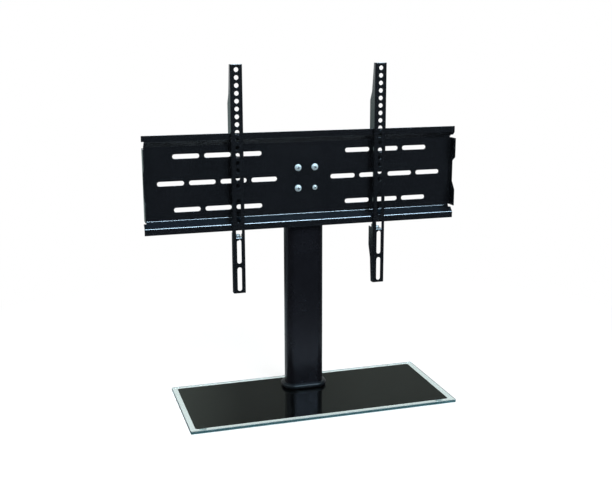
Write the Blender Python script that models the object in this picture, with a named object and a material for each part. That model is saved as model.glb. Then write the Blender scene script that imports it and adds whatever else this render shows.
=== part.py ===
# Table-top television stand: glass base, flat-oval column, folded mounting plate and two hook-on arms.
# Metres, +Z up. The television side faces -Y. The origin is on the floor, under the middle of the
# plate's length and of the glass's depth.

import math

import bmesh
import bpy
from mathutils import Vector

# Clearances and drawing steps
GAP = 0.0003
OVERRUN = 0.002
MERGE_DISTANCE = 0.000001
CORNER_STEPS = 6
BEND_STEPS = 4
HOLE_STEPS = 16
TURNED_STEPS = 20
BEAD_STEPS = 8
SHARP_ANGLE = math.radians(32)

# Glass base and its feet
GLASS_WIDTH = 0.553
GLASS_DEPTH = 0.240
GLASS_THICKNESS = 0.006
GLASS_CORNER_RADIUS = 0.003
GLASS_EDGE_CHAMFER = 0.0007
GLASS_HOLE_RADIUS = 0.005
FOOT_HEIGHT = 0.006
FOOT_TOP_RADIUS = 0.010
FOOT_BOTTOM_RADIUS = 0.0085
FOOT_EDGE = 0.001
FOOT_INSET = 0.028

# Clamp below the glass, and the countersunk screws that go up through it
GASKET_THICKNESS = 0.001
CLAMP_THICKNESS = 0.003
CLAMP_MARGIN = 0.017
CLAMP_CORNER_RADIUS = 0.006
BASE_SCREW_RADIUS = 0.003
BASE_SCREW_LENGTH = 0.030
BASE_HEAD_RADIUS = 0.0056
BASE_HEAD_HEIGHT = 0.0026

# Column: an aluminium section with four screw bosses; it stands a little right of the plate's middle,
# with its screws and the base
COLUMN_SETBACK = 0.062
COLUMN_OFFSET = 0.005
COLUMN_CORNER_RADIUS = 0.018
COLUMN_SIDE_FLAT = 0.009
COLUMN_WALL = 0.002
COLUMN_BELOW_PLATE_TOP = 0.030
BOSS_RADIUS = 0.005
BOSS_SINK = 0.001
FOOT_RING_HEIGHT = 0.010
FOOT_RING_REACH = 0.0081
CAP_THICKNESS = 0.003
CAP_EDGE = 0.001
CAP_PLUG_DEPTH = 0.010
CAP_PLUG_WALL = 0.002

# Mounting plate: one folded sheet
PLATE_LIFT = 0.3550
PLATE_LENGTH = 0.653
PLATE_HEIGHT = 0.1945
PLATE_THICKNESS = 0.002
PLATE_BEND_RADIUS = 0.001
LIP_HEIGHT = 0.0123
LIP_REACH = 0.012
LOWER_JOGGLE = 0.0128
UPPER_JOGGLE = 0.0099
SLOT_LENGTH = 0.053
SLOT_WIDTH = 0.009
SLOT_PITCH = 0.0627
SLOT_ROW_PITCH = 0.0527
FIRST_SLOT = 0.083
SLOT_END_MARGIN = 0.025
RELIEF_DEPTH = 0.005
RELIEF_HEIGHT = 0.0055
LEFT_EAR_HEIGHT = 0.0115
FLANGE_MARGIN = 0.0022
FLANGE_INSET = 0.0013
UPPER_TAB_REACH = 0.0215
UPPER_TAB_LENGTH = 0.040
UPPER_TAB_SLOPE = 0.0085
LOWER_TAB_REACH = 0.0218
LOWER_TAB_LENGTH = 0.034
LOWER_TAB_SLOPE = 0.017
TAB_STEM_REACH = 0.009

# Screws that hold the plate to the column
PLATE_SCREW_SPACING_X = 0.0354
PLATE_SCREW_SPACING_Z = 0.042
PLATE_SCREW_TO_FLAT_EDGE = 0.0043
PLATE_SCREW_RADIUS = 0.003
PLATE_SCREW_LENGTH = 0.014
PLATE_HEAD_RADIUS = 0.005
PLATE_HEAD_HEIGHT = 0.0038
WASHER_RADIUS = 0.00675
WASHER_THICKNESS = 0.0012
NUT_PLATE_THICKNESS = 0.006
NUT_PLATE_SIDE_MARGIN = 0.006
NUT_PLATE_END_MARGIN = 0.010

# Television arms
LEFT_ARM_X = -0.1412
RIGHT_ARM_X = 0.1565
ARM_WIDTH = 0.025
ARM_THICKNESS = 0.002
ARM_BEND_RADIUS = 0.001
ARM_DEPTH = 0.028
ARM_RISE = 0.1321
ARM_DROP = 0.1278
ARM_STANDOFF = 0.008
HOOK_PLAY = 0.0007
HOOK_MARGIN = 0.0013
HOOK_CHAMFER = 0.002
SHOULDER_GAP = 0.0036
LOWER_WALL_DEPTH = 0.0125
LOWER_WALL_NECK = 0.011
ARM_HOLE_RADIUS = 0.0045
ARM_HOLE_PITCH = 0.015
ARM_HOLE_TOP_MARGIN = 0.0101
ARM_HOLE_TO_SLOT = 0.012
ARM_SLOT_WIDTH = 0.009
ARM_SLOT_BRIDGE = 0.0074
ARM_SLOT_BOTTOM_MARGIN = 0.0047
ARM_SLOT_TAB_MARGIN = 0.0053
ARM_SLOT_WINDOW_MARGIN = 0.0115
WINDOW_WIDTH = 0.012
WINDOW_HEIGHT = 0.0175
SAFETY_TAB_DROP = 0.0121
SAFETY_TAB_REACH = 0.0195
UPPER_TAPER_SHARES = ((0.43, 1.0), (0.57, 0.64), (1.0, 0.33))
LOWER_TAPER_SHARES = ((0.40, 1.0), (0.61, 0.64), (1.0, 0.46))

# Safety screw and its clinch nut, one of each on an arm's lanced tab
SAFETY_SCREW_RADIUS = 0.003
SAFETY_SCREW_LENGTH = 0.014
SAFETY_SCREW_PROUD = 0.001
SAFETY_SCREW_LIP_CLEARANCE = 0.0005
SAFETY_NUT_RADIUS = 0.005
SAFETY_NUT_HEIGHT = 0.003
SAFETY_NUT_COLLAR = 0.0008
SAFETY_NUT_CHAMFER = 0.0006

# Sizes that follow from the values above
GLASS_BOTTOM_Z = FOOT_HEIGHT + GAP
GLASS_TOP_Z = GLASS_BOTTOM_Z + GLASS_THICKNESS
COLUMN_Y = GLASS_DEPTH / 2 - COLUMN_SETBACK
COLUMN_FLAT = PLATE_SCREW_SPACING_X + 2 * PLATE_SCREW_TO_FLAT_EDGE
COLUMN_WIDTH = COLUMN_FLAT + 2 * COLUMN_CORNER_RADIUS
COLUMN_DEPTH = COLUMN_SIDE_FLAT + 2 * COLUMN_CORNER_RADIUS
GASKET_BOTTOM_Z = GLASS_TOP_Z + GAP
COLUMN_BOTTOM_Z = GASKET_BOTTOM_Z + GASKET_THICKNESS + GAP
PLATE_BOTTOM_Z = GLASS_TOP_Z + PLATE_LIFT
PLATE_TOP_Z = PLATE_BOTTOM_Z + PLATE_HEIGHT
COLUMN_LENGTH = PLATE_TOP_Z - COLUMN_BELOW_PLATE_TOP - COLUMN_BOTTOM_Z
CLAMP_TOP_Z = GLASS_BOTTOM_Z - 2 * GAP - GASKET_THICKNESS
CLAMP_BOTTOM_Z = CLAMP_TOP_Z - CLAMP_THICKNESS
BOSS_OFFSET = (COLUMN_CORNER_RADIUS - COLUMN_WALL + BOSS_SINK - BOSS_RADIUS) / math.sqrt(2)
BOSS_X = COLUMN_FLAT / 2 + BOSS_OFFSET
BOSS_Y = COLUMN_SIDE_FLAT / 2 + BOSS_OFFSET
WEB_FRONT_Y = COLUMN_Y - COLUMN_DEPTH / 2 - GAP - PLATE_THICKNESS
WEB_LOW = LIP_HEIGHT + LOWER_JOGGLE
WEB_HIGH = PLATE_HEIGHT - LIP_HEIGHT - UPPER_JOGGLE
WEB_CENTRE = (WEB_LOW + WEB_HIGH) / 2
ARM_FRONT_Y = WEB_FRONT_Y - LIP_REACH - ARM_STANDOFF
ARM_TOP = ARM_RISE
ARM_BOTTOM = -PLATE_HEIGHT - ARM_DROP
SAFETY_TAB_TOP = -PLATE_HEIGHT - SAFETY_TAB_DROP
SAFETY_SCREW_DEPTH = ARM_STANDOFF + PLATE_THICKNESS + SAFETY_SCREW_LIP_CLEARANCE + SAFETY_SCREW_RADIUS
PLATE_SCREW_PLACES = [
    (side * PLATE_SCREW_SPACING_X / 2, WEB_CENTRE + level * PLATE_SCREW_SPACING_Z / 2)
    for level in (1, -1)
    for side in (-1, 1)
]
BASE_SCREW_PLACES = [(side * BOSS_X, end * BOSS_Y) for end in (-1, 1) for side in (-1, 1)]


# Outlines

def arc(centre, radius, start, end, steps):
    """Points on a circle from one angle to another in degrees, both ends included."""
    points = []
    for step in range(steps + 1):
        angle = math.radians(start + (end - start) * step / steps)
        points.append((centre[0] + radius * math.cos(angle), centre[1] + radius * math.sin(angle)))
    return points


def circle(centre, radius, steps=HOLE_STEPS):
    """Points of a full circle."""
    return arc(centre, radius, 0, 360, steps)[:-1]


def rounded_rectangle(width, depth, radius, steps=CORNER_STEPS):
    """Points of a rectangle round the origin, with a quarter circle at each corner."""
    across = width / 2 - radius
    along = depth / 2 - radius
    points = []
    for turn, (side, end) in enumerate(((1, 1), (-1, 1), (-1, -1), (1, -1))):
        points += arc((side * across, end * along), radius, 90 * turn, 90 * turn + 90, steps)
    return points


def slot(centre, length, width, upright=False):
    """Points of a straight slot with round ends, flat or upright."""
    reach = (length - width) / 2
    half = HOLE_STEPS // 2
    if upright:
        return (arc((centre[0], centre[1] + reach), width / 2, 0, 180, half)
                + arc((centre[0], centre[1] - reach), width / 2, 180, 360, half))
    return (arc((centre[0] - reach, centre[1]), width / 2, 90, 270, half)
            + arc((centre[0] + reach, centre[1]), width / 2, -90, 90, half))


def folded_strip(path, thickness, inner_radius):
    """Outline of a sheet that follows a path along its middle line, with a round bend at each corner."""
    path = [Vector(point) for point in path]
    middle_radius = inner_radius + thickness / 2
    stations = [(path[0], (path[1] - path[0]).normalized())]
    for before, corner, after in zip(path, path[1:], path[2:]):
        way_in = (corner - before).normalized()
        way_out = (after - corner).normalized()
        turn = way_out.angle_signed(way_in)
        hand = math.copysign(1, turn)
        start = corner - way_in * middle_radius * math.tan(abs(turn) / 2)
        centre = start + hand * middle_radius * Vector((-way_in.y, way_in.x))
        first = math.atan2(way_in.y, way_in.x)
        for step in range(BEND_STEPS + 1):
            angle = first + turn * step / BEND_STEPS
            way = Vector((math.cos(angle), math.sin(angle)))
            stations.append((centre + hand * middle_radius * Vector((way.y, -way.x)), way))
    stations.append((path[-1], (path[-1] - path[-2]).normalized()))
    left = [point + thickness / 2 * Vector((-way.y, way.x)) for point, way in stations]
    right = [point - thickness / 2 * Vector((-way.y, way.x)) for point, way in stations]
    return [tuple(point) for point in left + right[::-1]]


# Bodies

def add_prism(body, outline, axis, low, high):
    """Adds an outline drawn across an axis, extruded from low to high along it."""
    rings = []
    for level in (low, high):
        spots = {
            "X": [(level, across, up) for across, up in outline],
            "Y": [(across, level, up) for across, up in outline],
            "Z": [(across, up, level) for across, up in outline],
        }
        rings.append([body.verts.new(spot) for spot in spots[axis]])
    add_walls(body, rings[0], rings[1])
    body.faces.new(rings[0])
    body.faces.new(rings[1])


def add_walls(body, low_ring, high_ring):
    """Joins two rings of as many points with a band of four-sided faces."""
    for index in range(len(low_ring)):
        after = (index + 1) % len(low_ring)
        body.faces.new((low_ring[index], low_ring[after], high_ring[after], high_ring[index]))


def prism(outline, axis, low, high):
    """A straight body from one outline."""
    body = bmesh.new()
    add_prism(body, outline, axis, low, high)
    return body


def prisms(outlines, axis, low, high):
    """Several straight bodies side by side, for one set of cuts."""
    body = bmesh.new()
    for outline in outlines:
        add_prism(body, outline, axis, low, high)
    return body


def stacked(levels, closed=False):
    """A body through outlines at given heights; closed joins the last to the first, as in a ring."""
    body = bmesh.new()
    rings = [[body.verts.new((x, y, height)) for x, y in outline] for outline, height in levels]
    for low_ring, high_ring in zip(rings, rings[1:]):
        add_walls(body, low_ring, high_ring)
    if closed:
        add_walls(body, rings[-1], rings[0])
    else:
        body.faces.new(rings[0])
        body.faces.new(rings[-1])
    return body


def turned(profile, steps=TURNED_STEPS, closed=False):
    """A round body about Z from (radius, height) points; closed joins the last point to the first."""
    body = bmesh.new()
    points = [body.verts.new((radius, 0.0, height)) for radius, height in profile]
    edges = [body.edges.new(pair) for pair in zip(points, points[1:])]
    if closed:
        edges.append(body.edges.new((points[-1], points[0])))
    bmesh.ops.spin(body, geom=points + edges, cent=(0, 0, 0), axis=(0, 0, 1), angle=math.tau,
                   steps=steps, use_merge=True)
    bmesh.ops.remove_doubles(body, verts=body.verts, dist=MERGE_DISTANCE)
    return body


# Materials and objects

def finish(name, colour, roughness, metallic=0.0):
    """A plain Principled material."""
    material = bpy.data.materials.new(name)
    material.use_nodes = True
    shader = material.node_tree.nodes["Principled BSDF"]
    shader.inputs["Base Color"].default_value = (*colour, 1.0)
    shader.inputs["Roughness"].default_value = roughness
    shader.inputs["Metallic"].default_value = metallic
    material.diffuse_color = (*colour, 1.0)
    return material


def place(name, body, material, location=(0, 0, 0), rotation=(0, 0, 0)):
    """Makes a named object of a body, closed faces outward, at its place in the stand."""
    bmesh.ops.recalc_face_normals(body, faces=body.faces)
    mesh = bpy.data.meshes.new(name)
    body.to_mesh(mesh)
    body.free()
    mesh.shade_smooth()
    mesh.set_sharp_from_angle(angle=SHARP_ANGLE)
    if material:
        mesh.materials.append(material)
    thing = bpy.data.objects.new(name, mesh)
    thing.location = location
    thing.rotation_euler = rotation
    bpy.context.collection.objects.link(thing)
    return thing


def shape_with(target, operation, body, name):
    """Cuts, joins or trims a piece with another body that has the piece's own place."""
    tool = place(name, body, None, target.location, target.rotation_euler)
    tool.hide_render = True
    tool.display_type = "WIRE"
    modifier = target.modifiers.new(name, "BOOLEAN")
    modifier.operation = operation
    modifier.solver = "EXACT"
    modifier.object = tool
    return tool


# Base

def glass_base(material):
    """Toughened glass plate with chamfered edges and four holes for the column's screws."""
    levels = []
    for height, inset in ((0, GLASS_EDGE_CHAMFER), (GLASS_EDGE_CHAMFER, 0),
                          (GLASS_THICKNESS - GLASS_EDGE_CHAMFER, 0), (GLASS_THICKNESS, GLASS_EDGE_CHAMFER)):
        outline = rounded_rectangle(GLASS_WIDTH - 2 * inset, GLASS_DEPTH - 2 * inset, GLASS_CORNER_RADIUS)
        levels.append((outline, height))
    glass = place("glass_base", stacked(levels), material, (COLUMN_OFFSET, 0, GLASS_BOTTOM_Z))
    holes = [circle((x, COLUMN_Y + y), GLASS_HOLE_RADIUS) for x, y in BASE_SCREW_PLACES]
    shape_with(glass, "DIFFERENCE", prisms(holes, "Z", -OVERRUN, GLASS_THICKNESS + OVERRUN), "glass_holes")


def rubber_feet(material):
    """Four bonded rubber feet, a little narrower below."""
    profile = [
        (0, 0),
        (FOOT_BOTTOM_RADIUS - FOOT_EDGE, 0),
        (FOOT_BOTTOM_RADIUS, FOOT_EDGE),
        (FOOT_TOP_RADIUS, FOOT_HEIGHT),
        (0, FOOT_HEIGHT),
    ]
    for end, end_name in ((-1, "front"), (1, "rear")):
        for side, side_name in ((-1, "left"), (1, "right")):
            x = COLUMN_OFFSET + side * (GLASS_WIDTH / 2 - FOOT_INSET)
            y = end * (GLASS_DEPTH / 2 - FOOT_INSET)
            place(f"foot_{end_name}_{side_name}", turned(profile), material, (x, y, 0))


def clamp_outline():
    """Outline that the clamp plate and its gasket share, a margin round the base screws."""
    width = 2 * (BOSS_X + CLAMP_MARGIN)
    depth = 2 * (BOSS_Y + CLAMP_MARGIN)
    return rounded_rectangle(width, depth, CLAMP_CORNER_RADIUS)


def base_clamp(steel, foam):
    """Steel plate and soft gasket below the glass, and a gasket between the glass and the column."""
    holes = [circle(spot, BASE_SCREW_RADIUS + GAP) for spot in BASE_SCREW_PLACES]
    low_gasket = place("clamp_gasket", prism(clamp_outline(), "Z", 0, GASKET_THICKNESS), foam,
                       (COLUMN_OFFSET, COLUMN_Y, CLAMP_TOP_Z + GAP))
    shape_with(low_gasket, "DIFFERENCE", prisms(holes, "Z", -OVERRUN, GASKET_THICKNESS + OVERRUN),
               "clamp_gasket_holes")
    high_gasket = place("column_gasket", prism(column_outline(), "Z", 0, GASKET_THICKNESS), foam,
                        (COLUMN_OFFSET, COLUMN_Y, GASKET_BOTTOM_Z))
    shape_with(high_gasket, "DIFFERENCE", prisms(holes, "Z", -OVERRUN, GASKET_THICKNESS + OVERRUN),
               "column_gasket_holes")
    clamp = place("clamp_plate", prism(clamp_outline(), "Z", 0, CLAMP_THICKNESS), steel,
                  (COLUMN_OFFSET, COLUMN_Y, CLAMP_BOTTOM_Z))
    sinks = bmesh.new()
    for x, y in BASE_SCREW_PLACES:
        levels = (
            (BASE_HEAD_RADIUS + GAP, -OVERRUN),
            (BASE_HEAD_RADIUS + GAP, 0),
            (BASE_SCREW_RADIUS + GAP, BASE_HEAD_HEIGHT),
            (BASE_SCREW_RADIUS + GAP, CLAMP_THICKNESS + OVERRUN),
        )
        rings = [[sinks.verts.new((px, py, height)) for px, py in circle((x, y), radius)]
                 for radius, height in levels]
        for low_ring, high_ring in zip(rings, rings[1:]):
            add_walls(sinks, low_ring, high_ring)
        sinks.faces.new(rings[0])
        sinks.faces.new(rings[-1])
    shape_with(clamp, "DIFFERENCE", sinks, "clamp_countersinks")


def base_screws(material):
    """Four countersunk screws from below, into the column's bosses."""
    profile = [
        (0, 0),
        (BASE_HEAD_RADIUS, 0),
        (BASE_SCREW_RADIUS, BASE_HEAD_HEIGHT),
        (BASE_SCREW_RADIUS, BASE_SCREW_LENGTH),
        (0, BASE_SCREW_LENGTH),
    ]
    for number, (x, y) in enumerate(BASE_SCREW_PLACES, start=1):
        place(f"base_screw_{number}", turned(profile, HOLE_STEPS), material,
              (COLUMN_OFFSET + x, COLUMN_Y + y, CLAMP_BOTTOM_Z))


# Column

def column_outline(inset=0.0):
    """Flat-oval outline of the column, drawn in by an inset."""
    return rounded_rectangle(COLUMN_WIDTH - 2 * inset, COLUMN_DEPTH - 2 * inset, COLUMN_CORNER_RADIUS - inset)


def column(material):
    """Hollow section with a boss in each corner, and the plate's screw holes in its front wall."""
    tube = place("column", prism(column_outline(), "Z", 0, COLUMN_LENGTH), material,
                 (COLUMN_OFFSET, COLUMN_Y, COLUMN_BOTTOM_Z))
    core = prism(column_outline(COLUMN_WALL), "Z", -OVERRUN, COLUMN_LENGTH + OVERRUN)
    shape_with(tube, "DIFFERENCE", core, "column_core")
    bosses = [circle(spot, BOSS_RADIUS) for spot in BASE_SCREW_PLACES]
    shape_with(tube, "UNION", prisms(bosses, "Z", 0, COLUMN_LENGTH), "column_bosses")
    bores = [circle(spot, BASE_SCREW_RADIUS + GAP) for spot in BASE_SCREW_PLACES]
    shape_with(tube, "DIFFERENCE", prisms(bores, "Z", -OVERRUN, COLUMN_LENGTH + OVERRUN), "column_bores")
    front = -COLUMN_DEPTH / 2
    lift = PLATE_BOTTOM_Z - COLUMN_BOTTOM_Z
    holes = [circle((x, lift + z), PLATE_SCREW_RADIUS + GAP) for x, z in PLATE_SCREW_PLACES]
    shape_with(tube, "DIFFERENCE", prisms(holes, "Y", front - OVERRUN, front + COLUMN_WALL + OVERRUN),
               "column_screw_holes")


def foot_ring(material):
    """Round-nosed trim ring that hides the joint between the column and the glass."""
    nose = FOOT_RING_HEIGHT / 2
    profile = [(GAP, FOOT_RING_HEIGHT), (GAP, 0)]
    profile += arc((FOOT_RING_REACH - nose, nose), nose, -90, 90, BEAD_STEPS)
    levels = [(column_outline(-offset), height) for offset, height in profile]
    place("foot_ring", stacked(levels, closed=True), material, (COLUMN_OFFSET, COLUMN_Y, GASKET_BOTTOM_Z))


def column_cap(material):
    """Plastic cap with a hollow plug that sits between the bosses."""
    plug_width = COLUMN_FLAT
    plug_depth = COLUMN_DEPTH - 2 * COLUMN_WALL - 2 * GAP
    levels = (
        (column_outline(), 0),
        (column_outline(), CAP_THICKNESS - CAP_EDGE),
        (column_outline(CAP_EDGE), CAP_THICKNESS),
    )
    cap = place("column_cap", stacked(levels), material,
                (COLUMN_OFFSET, COLUMN_Y, COLUMN_BOTTOM_Z + COLUMN_LENGTH + GAP))
    plug = rounded_rectangle(plug_width, plug_depth, CAP_PLUG_WALL)
    shape_with(cap, "UNION", prism(plug, "Z", -CAP_PLUG_DEPTH, CAP_THICKNESS / 2), "cap_plug")
    hollow = rounded_rectangle(plug_width - 2 * CAP_PLUG_WALL, plug_depth - 2 * CAP_PLUG_WALL,
                               CAP_PLUG_WALL / 2)
    shape_with(cap, "DIFFERENCE", prism(hollow, "Z", -CAP_PLUG_DEPTH - OVERRUN, 0), "cap_hollow")


def nut_plate(material):
    """Threaded steel plate inside the column that takes the four plate screws."""
    half_width = PLATE_SCREW_SPACING_X / 2 + NUT_PLATE_SIDE_MARGIN
    half_height = PLATE_SCREW_SPACING_Z / 2 + NUT_PLATE_END_MARGIN
    outline = [(-half_width, -half_height), (half_width, -half_height), (half_width, half_height),
               (-half_width, half_height)]
    front = COLUMN_Y - COLUMN_DEPTH / 2 + COLUMN_WALL + GAP
    centre = PLATE_BOTTOM_Z + WEB_CENTRE
    plate = place("nut_plate", prism(outline, "Y", 0, NUT_PLATE_THICKNESS), material,
                  (COLUMN_OFFSET, front, centre))
    holes = [circle((x, z - WEB_CENTRE), PLATE_SCREW_RADIUS + GAP) for x, z in PLATE_SCREW_PLACES]
    shape_with(plate, "DIFFERENCE", prisms(holes, "Y", -OVERRUN, NUT_PLATE_THICKNESS + OVERRUN),
               "nut_plate_holes")


# Mounting plate

def plate_section():
    """Side view of the folded sheet: lip, joggle, web, joggle and lip."""
    web = PLATE_THICKNESS / 2
    lip = web - LIP_REACH
    path = [
        (lip, 0),
        (lip, LIP_HEIGHT),
        (web, WEB_LOW),
        (web, WEB_HIGH),
        (lip, PLATE_HEIGHT - LIP_HEIGHT),
        (lip, PLATE_HEIGHT),
    ]
    return folded_strip(path, PLATE_THICKNESS, PLATE_BEND_RADIUS)


def end_flange_outline():
    """Side view of an end flange: two tabs reach forward past the lips, with a narrow stem between."""
    low = WEB_LOW + FLANGE_MARGIN
    high = WEB_HIGH - FLANGE_MARGIN
    back = PLATE_THICKNESS + OVERRUN
    return [
        (back, low),
        (-LOWER_TAB_REACH, low),
        (-LOWER_TAB_REACH, low + LOWER_TAB_LENGTH),
        (-TAB_STEM_REACH, low + LOWER_TAB_LENGTH + LOWER_TAB_SLOPE),
        (-TAB_STEM_REACH, high - UPPER_TAB_LENGTH - UPPER_TAB_SLOPE),
        (-UPPER_TAB_REACH, high - UPPER_TAB_LENGTH),
        (-UPPER_TAB_REACH, high),
        (back, high),
    ]


def end_flange(side_name, side, material):
    """One end of the web, folded forward and trimmed to its outline, from the reliefs outward."""
    half = PLATE_LENGTH / 2
    web = PLATE_THICKNESS / 2
    root = half - RELIEF_DEPTH + GAP
    face = half - FLANGE_INSET - PLATE_THICKNESS / 2
    reach = max(UPPER_TAB_REACH, LOWER_TAB_REACH) + OVERRUN
    plan = folded_strip([(side * root, web), (side * face, web), (side * face, -reach)],
                        PLATE_THICKNESS, PLATE_BEND_RADIUS)
    flange = place(f"{side_name}_end_flange", prism(plan, "Z", WEB_LOW, WEB_HIGH), material,
                   (0, WEB_FRONT_Y, PLATE_BOTTOM_Z))
    shape_with(flange, "INTERSECT", prism(end_flange_outline(), "X", -half - OVERRUN, half + OVERRUN),
               f"{side_name}_end_flange_trim")


def slot_row(count, first, height):
    """Outlines of a row of slots on both sides of the middle."""
    centres = [first + SLOT_PITCH * number for number in range(count)]
    return [slot((side * x, height), SLOT_LENGTH, SLOT_WIDTH) for x in centres for side in (-1, 1)]


def mounting_plate(material):
    """Folded plate with slots, screw holes and end reliefs; the upper left one leaves only the lip."""
    half = PLATE_LENGTH / 2
    plate = place("mounting_plate", prism(plate_section(), "X", -half, half), material,
                  (0, WEB_FRONT_Y, PLATE_BOTTOM_Z))
    low = WEB_LOW + FLANGE_MARGIN - RELIEF_HEIGHT
    reliefs = bmesh.new()
    for side, high in ((-1, PLATE_HEIGHT - LEFT_EAR_HEIGHT), (1, WEB_HIGH - FLANGE_MARGIN + RELIEF_HEIGHT)):
        inner = side * (half - RELIEF_DEPTH)
        outer = side * (half + OVERRUN)
        corner = [(inner, low), (outer, low), (outer, high), (inner, high)]
        add_prism(reliefs, corner, "Y", -LIP_REACH - OVERRUN, PLATE_THICKNESS + OVERRUN)
    shape_with(plate, "DIFFERENCE", reliefs, "plate_reliefs")
    longest = half - SLOT_END_MARGIN - SLOT_LENGTH / 2
    middle_count = int((longest - FIRST_SLOT) / SLOT_PITCH) + 1
    offset_first = FIRST_SLOT + SLOT_PITCH / 2
    offset_count = int((longest - offset_first) / SLOT_PITCH) + 1
    cuts = slot_row(middle_count, FIRST_SLOT, WEB_CENTRE)
    cuts += slot_row(offset_count, offset_first, WEB_CENTRE + SLOT_ROW_PITCH)
    cuts += slot_row(offset_count, offset_first, WEB_CENTRE - SLOT_ROW_PITCH)
    cuts += [circle((COLUMN_OFFSET + x, z), PLATE_SCREW_RADIUS + GAP) for x, z in PLATE_SCREW_PLACES]
    shape_with(plate, "DIFFERENCE", prisms(cuts, "Y", -OVERRUN, PLATE_THICKNESS + OVERRUN), "plate_slots")


def plate_screws(material):
    """Four round-headed screws, three of them on a washer; the lower right one has none."""
    facing = (math.radians(90), 0, 0)
    dome = arc((0, 0), 1, 0, 90, 3)
    washer_profile = [
        (PLATE_SCREW_RADIUS + GAP, 0),
        (WASHER_RADIUS, 0),
        (WASHER_RADIUS, WASHER_THICKNESS),
        (PLATE_SCREW_RADIUS + GAP, WASHER_THICKNESS),
    ]
    names = ("upper_left", "upper_right", "lower_left", "lower_right")
    for name, (x, z) in zip(names, PLATE_SCREW_PLACES):
        bare = name == "lower_right"
        seat = GAP if bare else WASHER_THICKNESS + 2 * GAP
        profile = [(0, -PLATE_SCREW_LENGTH), (PLATE_SCREW_RADIUS, -PLATE_SCREW_LENGTH)]
        profile.append((PLATE_SCREW_RADIUS, 0))
        profile += [(PLATE_HEAD_RADIUS * out, PLATE_HEAD_HEIGHT * up) for out, up in dome[:-1]]
        profile.append((0, PLATE_HEAD_HEIGHT))
        across = COLUMN_OFFSET + x
        height = PLATE_BOTTOM_Z + z
        place(f"plate_screw_{name}", turned(profile, HOLE_STEPS), material,
              (across, WEB_FRONT_Y - seat, height), facing)
        if not bare:
            place(f"plate_washer_{name}", turned(washer_profile, HOLE_STEPS, closed=True), material,
                  (across, WEB_FRONT_Y - GAP, height), facing)


# Television arms: drawn from the front face backward (Y) and from the plate's top edge upward (Z)

def arm_side_outline():
    """Side view of an arm: tapered ends, a hook over the top lip, and a deep wall below a short neck."""
    front = -OVERRUN
    stop = ARM_STANDOFF - GAP
    slot_back = ARM_STANDOFF + PLATE_THICKNESS + HOOK_PLAY
    hook_low = HOOK_MARGIN - LIP_HEIGHT
    shoulder = -PLATE_HEIGHT - SHOULDER_GAP
    lower = [(depth * ARM_DEPTH, -PLATE_HEIGHT - drop * ARM_DROP) for drop, depth in LOWER_TAPER_SHARES]
    upper = [(depth * ARM_DEPTH, rise * ARM_RISE) for rise, depth in UPPER_TAPER_SHARES]
    neck = -PLATE_HEIGHT - LOWER_WALL_NECK
    middle = [
        (ARM_DEPTH, neck),
        (LOWER_WALL_DEPTH, neck),
        (LOWER_WALL_DEPTH, shoulder),
        (stop, shoulder),
        (stop, GAP),
        (slot_back, GAP),
        (slot_back, hook_low),
        (ARM_DEPTH - HOOK_CHAMFER, hook_low),
        (ARM_DEPTH, hook_low + HOOK_CHAMFER),
    ]
    return [(front, ARM_BOTTOM)] + lower[::-1] + middle + upper + [(front, ARM_TOP)]


def arm_slots():
    """Outlines of an arm's three slots: one above the window and two that share the length below the tab."""
    low_top = SAFETY_TAB_TOP - ARM_SLOT_TAB_MARGIN
    low_bottom = ARM_BOTTOM + ARM_SLOT_BOTTOM_MARGIN
    length = (low_top - low_bottom - ARM_SLOT_BRIDGE) / 2
    window_top = SAFETY_TAB_TOP + WINDOW_HEIGHT
    centres = [
        window_top + ARM_SLOT_WINDOW_MARGIN + length / 2,
        low_top - length / 2,
        low_bottom + length / 2,
    ]
    slots = [slot((0, centre), length, ARM_SLOT_WIDTH, upright=True) for centre in centres]
    return slots, centres[0] + length / 2


def arm_holes(slot_top):
    """Outlines of the column of round holes, from the top down to the first slot."""
    first = ARM_TOP - ARM_HOLE_TOP_MARGIN
    lowest = slot_top + ARM_HOLE_TO_SLOT + ARM_HOLE_RADIUS
    count = int((first - lowest) / ARM_HOLE_PITCH) + 1
    return [circle((0, first - ARM_HOLE_PITCH * number), ARM_HOLE_RADIUS) for number in range(count)]


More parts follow.
